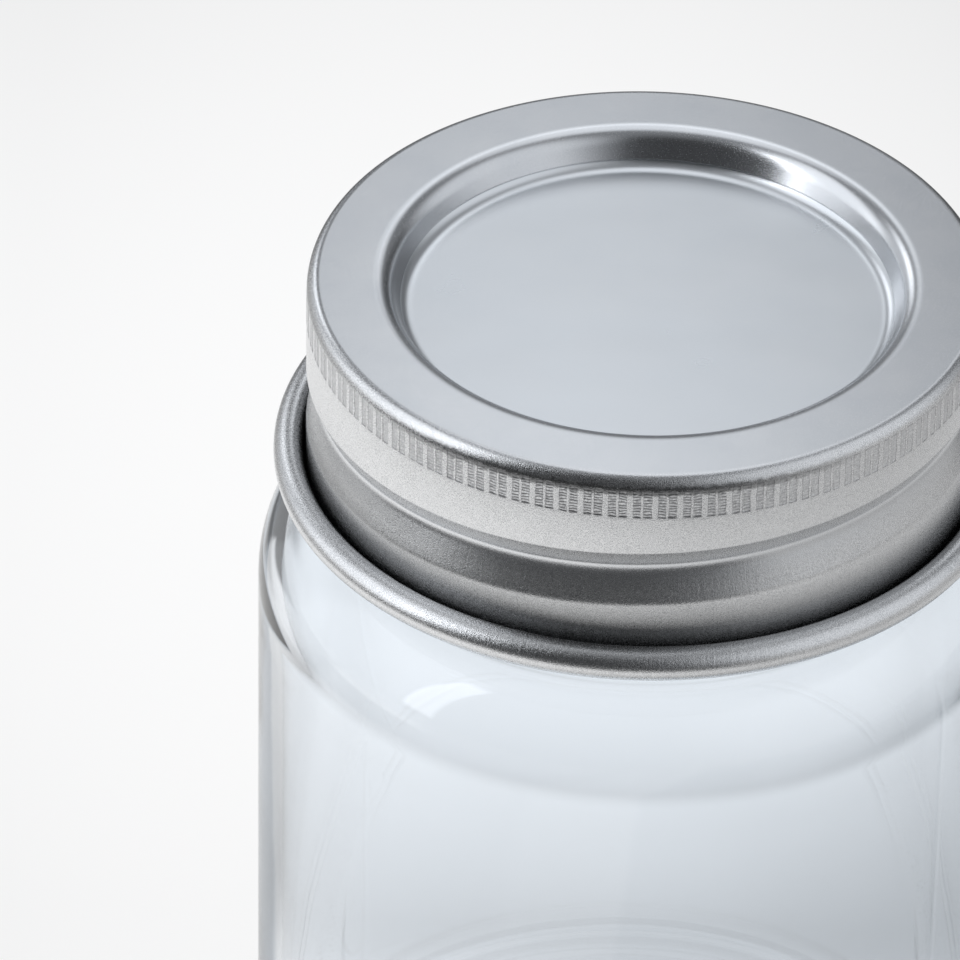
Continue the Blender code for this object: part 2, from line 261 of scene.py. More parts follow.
def thread_outset(level, turn):
    height = level - groove_level(turn) - THREAD_LOW_CREST
    if height < 0:
        share = 1 + height / THREAD_FLANK
    elif height > THREAD_CREST:
        share = 1 - (height - THREAD_CREST) / THREAD_FLANK
    else:
        share = 1
    return THREAD_HEIGHT * run_out(turn) * smooth(max(0.0, share))


def well_slope():
    """Angle of the well's cone above the horizontal, and the centre of its top rounding."""
    centre = (WELL_RIM, -WELL_ROUNDING)
    rise = WELL_DEPTH - WELL_ROUNDING
    reach = math.hypot(WELL_REACH, rise)
    angle = math.atan2(rise, WELL_REACH) + math.asin(WELL_ROUNDING / reach)
    return math.degrees(angle), centre


def corner_inset(level):
    """How far the band's rounded top corner lies inside its side at a level."""
    share = max(0.0, level / CORNER_HEIGHT + 1)
    return CORNER_WIDTH * (1 - math.sqrt(1 - share * share))


def knurl_press(turn, level):
    """How far the knurl's marks are pressed in: two a pair, one a little weaker."""
    place = ((SEAM_ANGLE + math.tau * turn - KNURL_PHASE) / math.tau * KNURL_PAIRS) % 1.0
    strong = (STRONG_HALF - min(place, 1 - place)) * STEPS_PER_PAIR + 0.5
    weak = (WEAK_HALF - abs(place - WEAK_CENTRE)) * STEPS_PER_PAIR + 0.5
    across = max(min(1.0, max(0.0, strong)), WEAK_SHARE * min(1.0, max(0.0, weak)))
    inside = min(KNURL_TOP - level, level - KNURL_BOTTOM) / KNURL_END_RAMP
    return KNURL_DEPTH * across * min(1.0, max(0.0, inside))


def closed_sheet(outer):
    """The outline of a sheet from its outer side: the inner side lies one SHEET inside."""
    points = np.array(outer)
    along = np.gradient(points, axis=0)
    along /= np.linalg.norm(along, axis=1)[:, None]
    inward = np.stack([along[:, 1], -along[:, 0]], 1)
    inner = points + SHEET * inward
    caps = []
    for end, side in ((-1, 1), (0, -1)):
        middle = (points[end] + inner[end]) / 2
        for angle in np.radians(range(30, 180, 30)):
            spoke = side * (inward[end] * -math.cos(angle) + along[end] * math.sin(angle))
            caps.append(middle + spoke * SHEET / 2)
    return points, caps[:5], inner[::-1], caps[5:]


def band_section(turn):
    """The band's sheet, and the range of its rows that carry the knurl."""
    slope, well_centre = well_slope()
    points = [(WELL_RIM - WELL_REACH, -WELL_DEPTH)]
    rim = arc(well_centre, WELL_ROUNDING, WELL_ROUNDING, slope + 90, 90, 8)
    for share in WELL_SHARES:
        radius = points[0][0] + (rim[0][0] - points[0][0]) * share
        level = points[0][1] + (rim[0][1] - points[0][1]) * share
        points.append((radius, level))
    points += rim
    corner = (BAND_RADIUS - CORNER_WIDTH, -CORNER_HEIGHT)
    for share in FLANGE_SHARES:
        points.append((WELL_RIM + (corner[0] - WELL_RIM) * share, 0.0))
    edge = arc(corner, CORNER_WIDTH, CORNER_HEIGHT, 90, 0, 28)
    points += [point for point in edge if point[1] > KNURL_TOP + CORNER_ABOVE_KNURL]
    first_fine = len(points)
    for level in np.concatenate([
        KNURL_TOP + KNURL_END_ROWS,
        np.linspace(KNURL_TOP - KNURL_INNER_ROWS, KNURL_BOTTOM + KNURL_INNER_ROWS, 8),
        KNURL_BOTTOM - KNURL_END_ROWS[::-1],
    ]):
        points.append((BAND_RADIUS - corner_inset(level), level))
    last_fine = len(points) - 1
    points.append((BAND_RADIUS, (KNURL_BOTTOM + GROOVE_HIGHEST + GROOVE_UPPER) / 2))
    points.append((BAND_RADIUS, GROOVE_HIGHEST + GROOVE_UPPER + GROOVE_MARGIN))
    centre = row_level(turn)
    levels = centre + GROOVE_UPPER * np.linspace(1.0, 0.06, 16)
    levels = np.append(levels, centre - GROOVE_LOWER * np.linspace(0.0, 1.0, 22))
    points += [(BAND_RADIUS - groove_inset(level, turn), level) for level in levels]
    points.append((BAND_RADIUS, GROOVE_LOWEST - GROOVE_LOWER - GROOVE_MARGIN))
    curl = (CURL_RADIUS, CURL_LEVEL)
    points += arc(curl, CURL_OFFSET, CURL_ROLL, 180, 270, 10)
    points += arc(curl, CURL_ROLL, CURL_ROLL, 270, 450, 24)[1:]
    points += arc(curl, CURL_TUCK_WIDTH, CURL_ROLL, 450, 540, 10)[1:]
    points.append((CURL_RADIUS - CURL_TUCK_WIDTH, CURL_LEVEL - CURL_ROLL * CURL_END_SHARE))
    return np.concatenate(closed_sheet(points)), first_fine, last_fine


def disc_section():
    """The disc's sheet, from the middle of its top to the middle of its underside."""
    slope, well_centre = well_slope()
    angle = math.radians(slope)
    normal = (-math.sin(angle), math.cos(angle))
    rounding = WELL_ROUNDING - SHEET - SEAT_GAP
    cone = (well_centre[0] + rounding * normal[0], well_centre[1] + rounding * normal[1])
    fillet_level = PANEL_LEVEL + PANEL_FILLET
    along = PANEL_FILLET - (fillet_level - cone[1]) * normal[1]
    fillet = (cone[0] + along / normal[0], fillet_level)
    points = [(fillet[0] * share, PANEL_LEVEL) for share in PANEL_SHARES]
    points += arc(fillet, PANEL_FILLET, PANEL_FILLET, -90, slope - 90, 10)
    points += arc(well_centre, rounding, rounding, slope + 90, 90, 6)
    edge = (DISC_RADIUS - DISC_EDGE_RADIUS, DISC_LEVEL - DISC_EDGE_RADIUS)
    points += arc(edge, DISC_EDGE_RADIUS, DISC_EDGE_RADIUS, 90, 0, 10)
    return np.concatenate(closed_sheet(points)[:3])


def seal_section():
    inner = MOUTH_RADIUS + SEAL_INSET + SEAL_ROUNDING
    outer = NECK_RADIUS + SEAL_OVERHANG - SEAL_ROUNDING
    top = SEAL_LEVEL - SEAL_ROUNDING
    bottom = SEAL_LEVEL - SEAL_THICKNESS + SEAL_ROUNDING
    points = []
    corners = ((inner, top, 180), (outer, top, 90), (outer, bottom, 0), (inner, bottom, -90))
    for radius, level, start in corners:
        points += arc((radius, level), SEAL_ROUNDING, SEAL_ROUNDING, start, start - 90, 4)
    return np.array(points)


def tangent_fillet(wall_radius, fillet_radius, arc_centre, arc_radius):
    """Centre of a fillet between an upright wall and a shoulder arc, and its angle there."""
    across = wall_radius + fillet_radius - arc_centre[0]
    rise = math.sqrt((arc_radius + fillet_radius) ** 2 - across ** 2)
    centre = (wall_radius + fillet_radius, arc_centre[1] + rise)
    return centre, math.degrees(math.atan2(rise, across))


def mould_seam(turn):
    """Height of the mould's seam: two fine ridges up the outside, opposite each other."""
    angle = SEAM_ANGLE + math.tau * turn - MOULD_SEAM_ANGLE
    away = abs(math.degrees(math.asin(math.sin(angle))))
    return MOULD_SEAM_RISE * smooth(max(0.0, 1 - away / MOULD_SEAM_STEPS[-1]))


def jar_section(turn):
    """The glass from the middle of its floor, over the rim and down to its base."""
    inner_radius = BODY_RADIUS - BODY_WALL
    floor = BASE_THICKNESS - JAR_HEIGHT
    heel = (inner_radius - FLOOR_RADIUS, floor + FLOOR_RADIUS)
    points = arc((0.0, floor), heel[0], FLOOR_RISE, 90, 0, 16)[:-1]
    points += arc(heel, FLOOR_RADIUS, FLOOR_RADIUS, -90, 0, 14)
    shoulder = (BODY_RADIUS - SHOULDER_RADIUS, SHOULDER_LEVEL)
    arc_radius = SHOULDER_RADIUS - BODY_WALL
    fillet, angle = tangent_fillet(MOUTH_RADIUS, INNER_FILLET, shoulder, arc_radius)
    low, high = points[-1][1], shoulder[1]
    points += [(inner_radius, low + (high - low) * k / 16) for k in range(1, 16)]
    points += arc(shoulder, arc_radius, arc_radius, 0, angle, 18)
    points += arc(fillet, INNER_FILLET, INNER_FILLET, angle + 180, 180, 8)[1:]
    level = RIM_LEVEL - LIP_RADIUS
    low = points[-1][1]
    points += [(MOUTH_RADIUS, low + (level - low) * k / 5) for k in range(1, 5)]
    points += arc((MOUTH_RADIUS + LIP_RADIUS, level), LIP_RADIUS, LIP_RADIUS, 180, 90, 6)
    points += arc((NECK_RADIUS - LIP_RADIUS, level), LIP_RADIUS, LIP_RADIUS, 90, 0, 6)
    centre = row_level(turn) + THREAD_LOW_CREST
    heights = np.concatenate([
        THREAD_CREST + THREAD_FLANK * np.linspace(1, 0, 7),
        [THREAD_CREST / 2],
        -THREAD_FLANK * np.linspace(0, 1, 7),
    ])
    for height in heights:
        points.append((NECK_RADIUS + thread_outset(centre + height, turn), centre + height))
    points.append((NECK_RADIUS, CURL_LEVEL + BEAD_HALF_HEIGHT + BEAD_FLANK))
    bead = (THREAD_RADIUS - BEAD_FLANK, CURL_LEVEL)
    points += arc(bead, BEAD_FLANK, BEAD_HALF_HEIGHT, 80, -80, 10)
    points.append((NECK_RADIUS, CURL_LEVEL - BEAD_HALF_HEIGHT - BEAD_FLANK))
    fillet, angle = tangent_fillet(NECK_RADIUS, NECK_FILLET, shoulder, SHOULDER_RADIUS)
    points += arc(fillet, NECK_FILLET, NECK_FILLET, 180, angle + 180, 8)
    heel = (BODY_RADIUS - HEEL_RADIUS, HEEL_RADIUS - JAR_HEIGHT)
    outside = arc(shoulder, SHOULDER_RADIUS, SHOULDER_RADIUS, angle, 0, 24)[1:]
    drop = heel[1] - SHOULDER_LEVEL
    outside += [(BODY_RADIUS, SHOULDER_LEVEL + drop * k / 16) for k in range(1, 16)]
    points += [(radius + mould_seam(turn), level) for radius, level in outside]
    points += arc(heel, HEEL_RADIUS, HEEL_RADIUS, 0, -90, 16)
    bearing = BODY_RADIUS - HEEL_RADIUS - BEARING_WIDTH
    points += arc((0.0, -JAR_HEIGHT), bearing, PUSH_UP, 0, 90, 16)
    return points


# Meshes

def ring_points(section_row, turns):
    """Places round the axis of one row: section_row(turn) gives its radius and level."""
    places = []
    for turn in turns:
        radius, level = section_row(turn)
        if radius < POLE_RADIUS:
            return [(0.0, 0.0, level + JAR_HEIGHT)]
        angle = SEAM_ANGLE + math.tau * turn
        places.append((radius * math.cos(angle), radius * math.sin(angle), level + JAR_HEIGHT))
    return places


def faces_between(a, na, b, nb):
    """Faces between two rings that start at vertices a and b, either of which may be a pole."""
    few, many = min(na, nb), max(na, nb)
    if few == 1 and na == 1:
        return [(a, b + j, b + (j + 1) % many) for j in range(many)]
    if few == 1:
        return [(b, a + (j + 1) % many, a + j) for j in range(many)]
    faces = []
    for k in range(few):
        top = [a + (k * (na // few) + j) % na for j in range(na // few + 1)]
        bottom = [b + (k * (nb // few) + j) % nb for j in range(nb // few + 1)]
        faces.append(tuple(top[::-1] + bottom))
    return faces


def join_rows(name, rows, closed):
    """A mesh from rings of points. Neighbouring rings may differ in count by a whole ratio."""
    places, faces, starts = [], [], []
    for row in rows:
        starts.append(len(places))
        places += row
    pairs = list(zip(range(len(rows)), range(1, len(rows))))
    if closed:
        pairs.append((len(rows) - 1, 0))
    for upper, lower in pairs:
        faces += faces_between(starts[upper], len(rows[upper]), starts[lower], len(rows[lower]))
    mesh = bpy.data.meshes.new(name)
    mesh.from_pydata(places, [], faces)
    mesh.validate()
    mesh.shade_smooth()
    mesh.set_sharp_from_angle(angle=SHARP_ANGLE)
    return mesh


def even_turns(steps):
    return [k / steps for k in range(steps)]


def band_rows():
    """Rings of the band: fine ones where the knurl is, and coarse ones elsewhere."""
    coarse, fine = even_turns(COARSE_STEPS), even_turns(FINE_STEPS)
    sections = {turn: band_section(turn) for turn in coarse}
    outline, first_fine, last_fine = sections[0.0]
    rows = []
    for row in range(len(outline)):
        if first_fine <= row <= last_fine:
            radius, level = outline[row]
            rows.append(ring_points(lambda turn: (radius - knurl_press(turn, level), level), fine))
        else:
            rows.append(ring_points(lambda turn: sections[turn][0][row], coarse))
    return rows


def turned_rows(section, steps):
    return [ring_points(lambda turn, point=point: point, even_turns(steps)) for point in section]


def jar_rows(steps):
    turns = set(even_turns(steps))
    for side in (0.0, math.pi):
        for step in MOULD_SEAM_STEPS:
            angle = MOULD_SEAM_ANGLE + side + math.radians(step) - SEAM_ANGLE
            turns.add((angle / math.tau) % 1.0)
    turns = sorted(turns)
    sections = {turn: jar_section(turn) for turn in turns}
    count = len(sections[0.0])
    return [ring_points(lambda turn, row=row: sections[turn][row], turns) for row in range(count)]


# Materials

def add_node(tree, kind, inputs=None, **settings):
    """A node with its settings; an input that is a socket is linked, any other is set."""
    node = tree.nodes.new(kind)
    for name, value in settings.items():
        setattr(node, name, value)
    for name, value in (inputs or {}).items():
        socket = node.inputs[name]
        if isinstance(value, bpy.types.NodeSocket):
            tree.links.new(value, socket)
        else:
            socket.default_value = value
    return node


def maths(tree, operation, a, b=0.0):
    return add_node(tree, "ShaderNodeMath", {0: a, 1: b}, operation=operation).outputs[0]


def total(tree, first, *others):
    for other in others:
        first = maths(tree, "ADD", first, other)
    return first


def product(tree, first, *others):
    for other in others:
        first = maths(tree, "MULTIPLY", first, other)
    return first


def less(tree, a, b):
    return maths(tree, "SUBTRACT", a, b)


def darkened(tree, value, shade):
    return product(tree, value, less(tree, 1.0, shade))


def away_by(tree, value, middle):
    return maths(tree, "ABSOLUTE", less(tree, value, middle))


def clamped(tree, value, low, high):
    return maths(tree, "MAXIMUM", maths(tree, "MINIMUM", value, high), low)


def length(tree, x, y):
    squares = total(tree, product(tree, x, x), product(tree, y, y))
    return maths(tree, "SQRT", squares)


def noise(tree, vector, scale, detail=2.0, roughness=0.5):
    inputs = {"Vector": vector, "Scale": scale, "Detail": detail, "Roughness": roughness}
    return add_node(tree, "ShaderNodeTexNoise", inputs).outputs["Fac"]


def remap(tree, value, from_low, from_high, to_low, to_high, shape="LINEAR"):
    inputs = {"Value": value, "From Min": from_low, "From Max": from_high,
              "To Min": to_low, "To Max": to_high}
    node = add_node(tree, "ShaderNodeMapRange", inputs, interpolation_type=shape)
    return node.outputs["Result"]


def patches(tree, place, scale, detail=2.0, low=0.0, high=1.0, reach=0.2):
    """Noise whose values within reach of its middle are stretched from low to high."""
    return remap(tree, noise(tree, place, scale, detail), 0.5 - reach, 0.5 + reach, low, high)


def step_up(tree, value, low, high):
    """0 below low, 1 above high and smooth between; high may be the lower of the two."""
    if high > low:
        return remap(tree, value, low, high, 0.0, 1.0, "SMOOTHSTEP")
    return remap(tree, value, high, low, 1.0, 0.0, "SMOOTHSTEP")


def mix_colours(tree, factor, first, second):
    mix = add_node(tree, "ShaderNodeMix", {"Factor": factor}, data_type="RGBA")
    for name, colour in (("A", first), ("B", second)):
        if isinstance(colour, bpy.types.NodeSocket):
            tree.links.new(colour, mix.inputs[name])
        else:
            mix.inputs[name].default_value = (*colour, 1.0)
    return mix.outputs["Result"]


def new_material(name):
    material = bpy.data.materials.new(name)
    material.use_nodes = True
    tree = material.node_tree
    return material, tree, tree.nodes["Principled BSDF"]


def set_bump(tree, shader, height):
    bump = add_node(tree, "ShaderNodeBump", {"Height": height, "Distance": 1.0})
    tree.links.new(bump.outputs["Normal"], shader.inputs["Normal"])


def object_place(tree):
    """Object coordinates, and from them the radius from the axis, the angle and the level."""
    place = add_node(tree, "ShaderNodeTexCoord").outputs["Object"]
    x, y, z = add_node(tree, "ShaderNodeSeparateXYZ", {"Vector": place}).outputs
    angle = maths(tree, "ARCTAN2", y, x)
    return place, length(tree, x, y), angle, less(tree, z, JAR_HEIGHT)


def knurl_mask(tree, angle, level, place):
    """1 inside the knurl's marks, with slightly uneven edges, and the edges on their own."""
    blur = KNURL_EDGE_BLUR
    pairs = product(tree, less(tree, angle, KNURL_PHASE), KNURL_PAIRS / math.tau)
    wander = patches(tree, place, KNURL_EDGE_SCALE, low=-blur, high=blur)
    share = maths(tree, "FRACT", total(tree, pairs, wander))
    strong_edge = 0.5 - STRONG_HALF
    from_middle = away_by(tree, share, 0.5)
    strong = remap(tree, from_middle, strong_edge - blur, strong_edge + blur, 0.0, 1.0)
    from_weak = away_by(tree, share, WEAK_CENTRE)
    weak = remap(tree, from_weak, WEAK_HALF - blur, WEAK_HALF + blur, 1.0, 0.0)
    middle, half = (KNURL_TOP + KNURL_BOTTOM) / 2, (KNURL_TOP - KNURL_BOTTOM) / 2
    from_row = away_by(tree, level, middle)
    inside = remap(tree, from_row, half - KNURL_END_BLUR, half + KNURL_END_BLUR, 1.0, 0.0)
    marks = product(tree, maths(tree, "MAXIMUM", strong, weak), inside)
    edges = product(tree, marks, less(tree, 1.0, marks), 4.0)
    return marks, edges


def disc_tinplate():
    """Smooth rolled tinplate with a faint cloudiness."""
    material, tree, shader = new_material("disc_tinplate")
    place = object_place(tree)[0]
    cloud = patches(tree, place, PANEL_CLOUD_SCALE, detail=4.0)
    tree.links.new(mix_colours(tree, cloud, *PANEL_TINTS), shader.inputs["Base Color"])
    shader.inputs["Metallic"].default_value = 1.0
    tree.links.new(remap(tree, cloud, 0.0, 1.0, *PANEL_ROUGHNESS), shader.inputs["Roughness"])
    fine = product(tree, noise(tree, place, PANEL_GRAIN_SCALE), PANEL_GRAIN_HEIGHT)
    broad = product(tree, noise(tree, place, PANEL_WAVE_SCALE), PANEL_WAVE_HEIGHT)
    set_bump(tree, shader, total(tree, fine, broad))
    return material


def grained_tint(tree, place, drawn, grain):
    """Cloudy tin on the flange, speckled tin where the sheet was drawn."""
    cloud = patches(tree, place, FLANGE_CLOUD_SCALE, detail=4.0)
    cloudy = mix_colours(tree, cloud, *FLANGE_TINTS)
    specks = remap(tree, grain, 0.5 - SPECK_REACH, 0.5 + SPECK_REACH, 0.0, 1.0)
    speckle = mix_colours(tree, specks, *SPECK_TINTS)
    blotches = patches(tree, place, BLOTCH_SCALE, detail=3.0, high=BLOTCH_SHARE, reach=0.15)
    speckle = mix_colours(tree, blotches, speckle, BLOTCH_TINT)
    return mix_colours(tree, product(tree, drawn, SPECK_SHARE), cloudy, speckle)


def striations(tree, place, level):
    """Waves down the knurl's marks, and the broken dashes that they leave."""
    uneven = product(tree, noise(tree, place, STRIATION_BEND_SCALE), STRIATION_BEND)
    phase = total(tree, product(tree, level, math.tau / STRIATION_PITCH), uneven)
    wave = maths(tree, "SINE", phase)
    broken = patches(tree, place, STRIATION_BREAK_SCALE, low=-STRIATION_BREAK,
                     high=STRIATION_BREAK, reach=0.15)
    return wave, remap(tree, total(tree, wave, broken), *STRIATION_CUT, 0.0, STRIATION_SHARE)


def painted_shade_places(tree, place, radius, level, front, drawn):
    """How much painted shade darkens the tin: low on the skirt towards the curl, and a painted
    dark reflection along a ragged line below the front corner.
    """
    skirt = remap(tree, radius, *SKIRT_RADII, 1.0, 0.0)
    # Painted shade on the skirt, growing downwards towards the curl
    low = remap(tree, level, *TROUGH_SHADE_LEVELS, TROUGH_SHADE_SHARE, 0.0)
    # A painted dark reflection along a ragged line below the corner, at the front only
    ragged = product(tree, less(tree, noise(tree, place, LINE_SCALE), 0.5), LINE_RAGGED)
    from_line = maths(tree, "ABSOLUTE", total(tree, level, -LINE_LEVEL, ragged))
    line = remap(tree, from_line, *LINE_HALVES, LINE_SHARE, 0.0)
    line = product(tree, line, remap(tree, front, *LINE_FRONT, 0.0, 1.0), drawn)
    return total(tree, product(tree, skirt, low), line)


def band_tinplate():
    """Tinplate that is smooth on top and grainy where it was drawn, knurled and rolled."""
    material, tree, shader = new_material("band_tinplate")
    place, radius, angle, level = object_place(tree)
    drawn = remap(tree, radius, *DRAWN_RADII, 0.0, 1.0)
    marks, edges = knurl_mask(tree, angle, level, place)
    knurl = product(tree, marks, drawn)
    grain = noise(tree, place, GRAIN_SCALE, roughness=0.6)
    wave, dashes = striations(tree, place, level)
    front = maths(tree, "COSINE", less(tree, angle, FRONT_AZIMUTH))

    depth = product(tree, dashes, remap(tree, front, *WORN_FRONT, WORN_LEAST, 1.0), knurl)
    colour = mix_colours(tree, depth, grained_tint(tree, place, drawn, grain), STRIATION_TINT)
    least, most = KNURL_LINE_SHARES
    patchy = patches(tree, place, KNURL_LINE_SCALE, low=least, high=most, reach=0.1)
    colour = mix_colours(tree, product(tree, edges, patchy, drawn), colour, KNURL_LINE_TINT)
    painted_dark = painted_shade_places(tree, place, radius, level, front, drawn)
    # Painted shade and a painted dark reflection: the tin is mixed towards black there
    colour = mix_colours(tree, painted_dark, colour, (0.0, 0.0, 0.0))
    tree.links.new(colour, shader.inputs["Base Color"])
    shader.inputs["Metallic"].default_value = 1.0
    rough = total(tree, remap(tree, drawn, 0.0, 1.0, *BAND_ROUGHNESS),
                  product(tree, knurl, KNURL_ROUGHNESS),
                  remap(tree, grain, *GRAIN_RANGE, -GRAIN_ROUGHNESS, GRAIN_ROUGHNESS))
    tree.links.new(rough, shader.inputs["Roughness"])

    grain_height = product(tree, grain, remap(tree, drawn, 0.0, 1.0, *GRAIN_HEIGHTS))
    ridges = product(tree, wave, STRIATION_HEIGHT, knurl)
    around = product(tree, angle, BAND_RADIUS)
    down = product(tree, level, STREAK_STRETCH)
    along = add_node(tree, "ShaderNodeCombineXYZ", {"X": around, "Y": down}).outputs["Vector"]
    below = remap(tree, level, KNURL_BOTTOM - STREAK_FADE, KNURL_BOTTOM, 1.0, 0.0)
    streaks = product(tree, noise(tree, along, STREAK_SCALE), STREAK_HEIGHT)
    streaks = product(tree, below, drawn, streaks)
    set_bump(tree, shader, total(tree, grain_height, ridges, streaks))
    return material


def clear_glass():
    """Flint glass with slow waves, and stippling on its bearing ring."""
    material, tree, shader = new_material("clear_glass")
    shader.inputs["Base Color"].default_value = GLASS_TINT
    shader.inputs["Roughness"].default_value = 0.0
    shader.inputs["IOR"].default_value = GLASS_IOR
    shader.inputs["Transmission Weight"].default_value = 1.0
    place, radius, _, level = object_place(tree)
    waves = product(tree, noise(tree, place, GLASS_WAVE_SCALE, 1.0), GLASS_WAVE_HEIGHT)
    dots = add_node(tree, "ShaderNodeTexVoronoi", {"Vector": place, "Scale": STIPPLE_SCALE})
    pimple = remap(tree, dots.outputs["Distance"], 0.0, STIPPLE_WIDTH, STIPPLE_HEIGHT, 0.0,
                   "SMOOTHSTEP")
    under = remap(tree, level, *(height - JAR_HEIGHT for height in STIPPLE_LEVELS), 1.0, 0.0)
    middle = BODY_RADIUS - HEEL_RADIUS
    inner, outer = middle - BEARING_WIDTH, middle + BEARING_WIDTH
    bearing = product(tree, remap(tree, radius, inner, inner + MM, 0.0, 1.0),
                      remap(tree, radius, outer - MM, outer, 1.0, 0.0))
    set_bump(tree, shader, total(tree, waves, product(tree, pimple, under, bearing)))
    see_lamps = add_node(tree, "ShaderNodeBsdfTransparent", {"Color": GLASS_SHADOW_TINT})
    is_shadow = add_node(tree, "ShaderNodeLightPath").outputs["Is Shadow Ray"]
    mix = add_node(tree, "ShaderNodeMixShader", {"Fac": is_shadow})
    tree.links.new(shader.outputs["BSDF"], mix.inputs[1])
    tree.links.new(see_lamps.outputs["BSDF"], mix.inputs[2])
    tree.links.new(mix.outputs["Shader"], tree.nodes["Material Output"].inputs["Surface"])
    return material


def compound():
    """Pale rubbery sealing compound with soft blotches."""
    material, tree, shader = new_material("sealing_compound")
    place = object_place(tree)[0]
    blotches = patches(tree, place, SEAL_BLOTCH_SCALE, detail=4.0)
    tree.links.new(mix_colours(tree, blotches, *SEAL_TINTS), shader.inputs["Base Color"])
    shader.inputs["Roughness"].default_value = SEAL_ROUGHNESS
    pores = noise(tree, place, SEAL_PORE_SCALE, 3.0)
    set_bump(tree, shader, product(tree, pores, SEAL_PORE_HEIGHT))
    return material


# Pieces


def add_piece(name, rows, closed, material, body, node):
    mesh = join_rows(name, rows, closed)
    mesh.materials.append(material)
    piece = bpy.data.objects.new(name, mesh)
    bpy.context.scene.collection.objects.link(piece)
    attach(piece, body)
    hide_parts(node)


add_piece("jar_glass", jar_rows(ROUND_STEPS), False, clear_glass(), "jar", "glass_jar")
add_piece("band_sheet", band_rows(), True, band_tinplate(), "band", "screw_band")
add_piece("disc_sheet", turned_rows(disc_section(), ROUND_STEPS), False, disc_tinplate(),
          "lid", "lid_disc")
add_piece("seal_compound", turned_rows(seal_section(), SEAL_STEPS), True, compound(),
          "lid", "seal_ring")


# Studio. Places are in metres from the jar's axis, and directions in degrees: azimuth 0 is to
# the photograph's right and 90 is away from its camera.

# What the floor's brightness falls by, as squares: middle, reach and drop, across and back
FLOOR_FALLS = ((-0.022, 0.058, 0.05), (0.13, 0.12, 0.1))
FLOOR_ACROSS = (-0.075, 0.08)
FLOOR_NEAREST = 0.05
FLOOR_BRIGHTEST, FLOOR_DARKEST = 1.04, 0.8
FLOOR_GLOW_SHARE = 0.88
FLOOR_COLOUR = (0.82, 0.82, 0.825, 1.0)
FLOOR_CORNERS = ((-4, -4, 0), (4, -4, 0), (4, 4, 0), (-4, 4, 0))

# Shades that only rays through the glass see: share, then ramps of a place from 0 to 1. A
# share below 0 brightens. The leaf is the dark pointed reflection at the left shoulder.
LEAF_END = ("x", -0.4, -0.33)
THROUGH_SHADES = (
    (0.3, ("y", 0.025, 0.047), ("x", 0.0, 0.05), ("y", 0.1, 0.045)),
    (0.22, ("x", -0.065, -0.085), ("x", -0.15, -0.12)),
    (-0.25, ("y", 0.032, 0.016)),
)
LEAF_SHADES = (
    (0.85, ("x", -0.14, -0.19), ("y", 0.15, 0.19), LEAF_END),
    (0.85, ("diagonal", 0.06, 0.072), ("x", -0.06, -0.08), LEAF_END),
)
DIAGONAL_SLOPE = 0.77
FRONT_FROM = (0.025, 0.047)
FRONT_NEARER = (0.1, 0.05)
FRONT_SHARES = (0.15, 0.2)
TILT_PLACES, TILT_SHARES = (-0.045, 0.07), (-0.02, 0.09)

# The shade for rays that went through the solid wall alone, as along the jar's edge
WALL_CROSSINGS = (2.4, 2.6)
WALL_SLOPE = 0.36
WALL_FROM = (-0.058, -0.05)
WALL_SHARE = 0.5
WALL_TONE = (0.9, 0.99, 1.09)

# What reflections see of the floor: a slope near the jar, spots of painted shadow (centre, spread,
# share) and glows (azimuth, outer and inner half-width, from distance, to distance, strength)
NEAR_LEVEL, NEAR_SLOPES = 1.0, (-1.75, -0.45)
NEAR_UNTIL = (0.28, 0.2)
FAR_LEVEL = 0.06
SHADOW_SPOTS = (((0.02, -0.02), 0.085, 0.6), ((-0.065, 0.055), 0.05, 0.24))
FLOOR_GLOWS = (
    (192.0, 24.0, 8.0, 0.7, 1.2, 1.6),
    (-15.0, 50.0, 38.0, 0.2, 0.32, 0.55),
    (150.0, 40.0, 20.0, 0.2, 0.34, 0.5),
)

# The card: its light at a height, its slope and limits, its bulge across and its fades
CARD_HEIGHT, CARD_LIGHT, CARD_SLOPE = 0.344, 0.82, 17.0
CARD_LIMITS = (0.56, 1.06)
CARD_MIDDLE, CARD_SPREAD = -0.011, 0.062
CARD_FADES = ((0.255, 0.295), (0.56, 0.42))
CARD_COLOUR = (0.95, 0.985, 1.03, 1.0)
CARD_CORNERS = ((-0.35, 0.3, 0.14), (0.35, 0.3, 0.14), (0.35, 0.3, 0.9), (-0.35, 0.3, 0.9))

# The world: lamps (azimuth, elevation, inner and outer radius, strength), softboxes (azimuth,
# inner and outer half-width, rise from and to, fall from and to, strength) and dark sides
# (azimuth, outer and inner half-width, heights where they are gone and full, share)
WORLD_LEVEL = 0.25
LAMPS = (
    (90, 68, 8, 28, 0.9),
    (-20, 24, 26, 52, 0.65),
    (142, 8, 10, 28, 0.5),
    (121, 21, 4, 12, 1.2),
    (128, 29, 4, 11, 1.2),
)
SOFTBOXES = (
    (180, 18, 31, -20, -10, 56, 68, 1.1),
    (70, 7, 11, 24, 30, 44, 52, 0.7),
    (205, 4, 6, 8, 12, 50, 56, 3.0),
)
DARK_SIDES = (
    (-112.0, 40.0, 30.0, 78.0, 42.0, 0.78),
    (52.0, 24.0, 14.0, 26.0, 14.0, 0.6),
)
WORLD_COLOUR = (0.945, 0.975, 1.02, 1.0)
PLAIN_COLOUR, PLAIN_LEVEL = (0.96, 0.98, 1.0, 1.0), 0.85

# The photograph's camera, fitted to the lid's rings; pixels of a frame 960 wide
CAMERA_ELEVATION, CAMERA_ROLL = math.radians(36.45), math.radians(0.94)
CAMERA_DISTANCE = 1023.7 * MM
FOCAL_PIXELS, FRAME_CENTRE = 9714.0, 480.0
AXIS_PIXEL = (648.06, 277.65)
SENSOR_WIDTH = 36.0
CLIP_RANGE = (0.05, 20.0)


